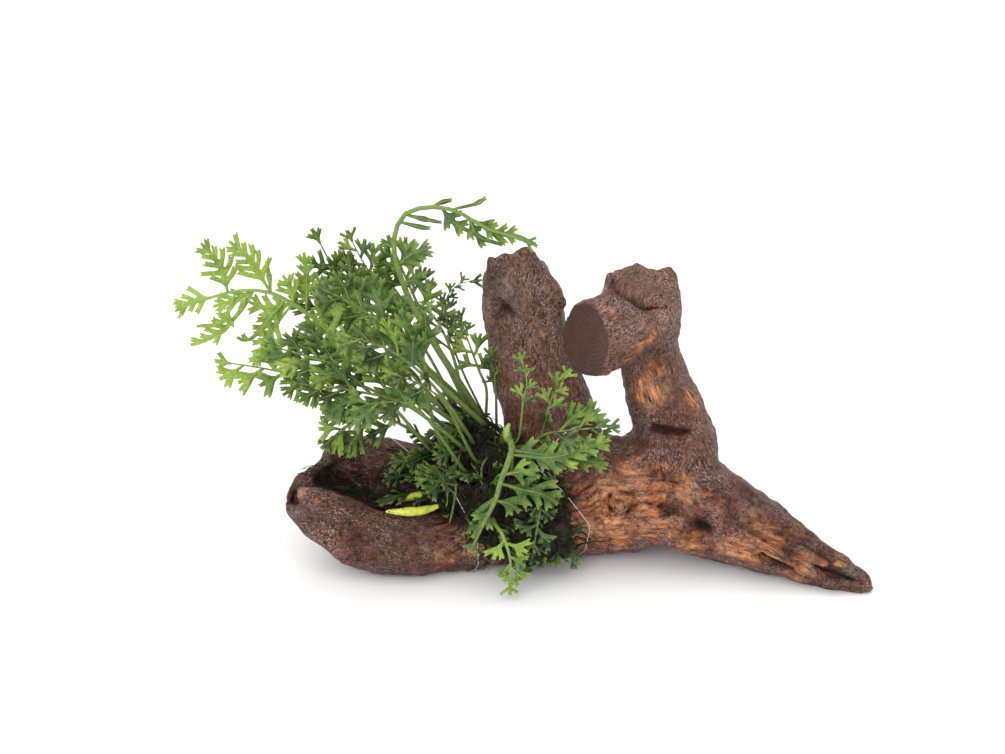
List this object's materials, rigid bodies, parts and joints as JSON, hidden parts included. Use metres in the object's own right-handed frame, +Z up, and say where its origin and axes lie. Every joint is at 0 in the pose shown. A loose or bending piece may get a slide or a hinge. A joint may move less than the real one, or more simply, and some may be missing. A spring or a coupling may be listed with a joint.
{
  "type": "african water fern on driftwood",
  "caption": "Finely divided water fern with a root mat, tied by nylon thread to a branching piece of driftwood that lies on its flat underside.",
  "frame": {"origin": "on the flat underside of the driftwood trunk, below the middle of its length, at the height of the surface it lies on", "axes": "+X along the trunk from its rounded lobes to its thin tail, +Y away from the side that shows the fern, +Z up"},
  "size_m": [0.1891, 0.0814, 0.1052],
  "materials": {
    "wet_driftwood": "satin",
    "wet_roots": "satin",
    "young_rhizome": "satin",
    "nylon_thread": "gloss",
    "fern_frond": "satin"
  },
  "bodies": {
    "root": {"driftwood_trunk": "wet_driftwood", "driftwood_left_stump": "wet_driftwood", "driftwood_right_stump": "wet_driftwood", "driftwood_sawn_branch": "wet_driftwood", "root_mat": "wet_roots", "growing_tip_upper": "young_rhizome", "growing_tip_lower": "young_rhizome", "tie_thread_left": "nylon_thread", "tie_thread_right": "nylon_thread", "frond_far_left": "fern_frond", "frond_arching": "fern_frond", "frond_front": "fern_frond", "frond_palmate": "fern_frond", "frond_low_left": "fern_frond", "frond_upper_left": "fern_frond", "frond_tall_stalk": "fern_frond", "frond_upper_middle": "fern_frond", "frond_inner": "fern_frond", "frond_thin": "fern_frond", "frond_stump_side": "fern_frond", "frond_stump_straight": "fern_frond", "sprig_front": "fern_frond", "sprig_right": "fern_frond", "frond_right_flat": "fern_frond", "frond_bottom": "fern_frond", "frond_droop": "fern_frond", "frond_over_ridge": "fern_frond", "sprig_on_mat": "fern_frond", "frond_left_1": "fern_frond", "frond_left_2": "fern_frond", "frond_left_3": "fern_frond", "frond_fore_1": "fern_frond", "frond_fore_2": "fern_frond", "frond_fore_3": "fern_frond", "frond_middle": "fern_frond", "frond_back_1": "fern_frond", "frond_back_2": "fern_frond", "frond_back_3": "fern_frond"}
  },
  "joints": []
}
